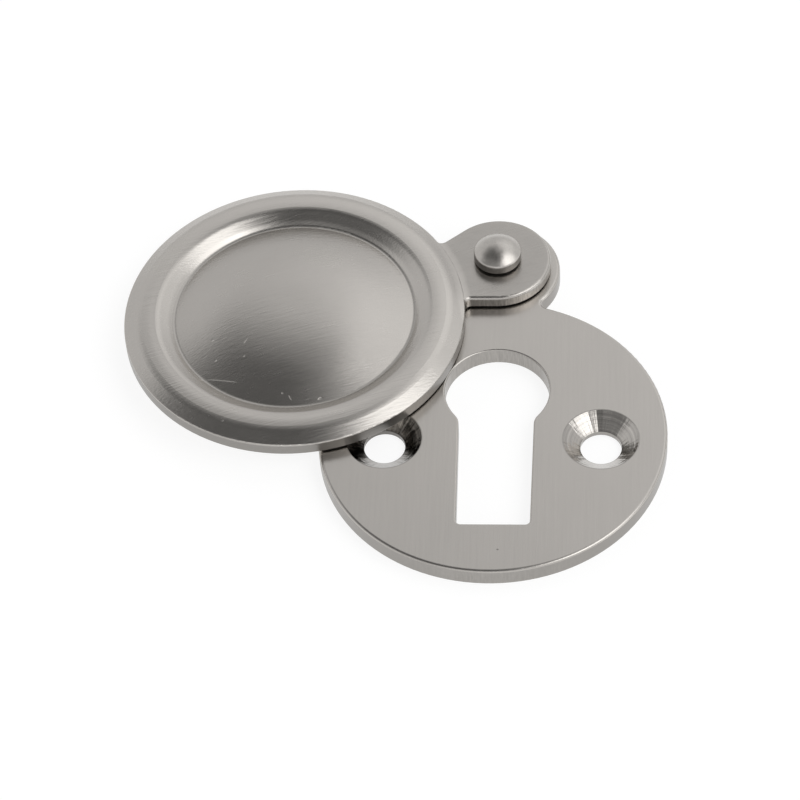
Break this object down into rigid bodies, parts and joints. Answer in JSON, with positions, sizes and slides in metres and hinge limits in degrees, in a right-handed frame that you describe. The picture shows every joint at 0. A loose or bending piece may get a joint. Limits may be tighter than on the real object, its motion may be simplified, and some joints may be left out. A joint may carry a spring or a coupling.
{
  "type": "keyhole escutcheon",
  "caption": "Round covered keyhole escutcheon: a flat back plate with a keyhole and countersunk screw holes, and a pressed domed cover that swings on a rivet.",
  "frame": {"origin": "midway between the two screw holes, on the back face of the back plate", "axes": "+Z out of the front face, towards the person at the door; +Y from the screw holes towards the pivot ear, up on the door; +X along the line of the screw holes, to the right seen from the front"},
  "size_m": [0.0511, 0.0453, 0.0052],
  "materials": {
    "plate_nickel": "satin nickel plate on pressed metal, brushed along one direction",
    "cover_nickel": "satin nickel plate on pressed metal, brushed along one direction, with small handling nicks",
    "rivet_nickel": "satin nickel plate"
  },
  "bodies": {
    "plate": {"back_plate": "plate_nickel", "pivot_rivet": "rivet_nickel"},
    "cover": {"swing_cover": "cover_nickel"}
  },
  "joints": [
    {"name": "cover_swing", "type": "hinge", "parent": "plate", "child": "cover", "pos_m": [0, 0.021, 0], "axis": [0, 0, 1], "continuous": true}
  ]
}
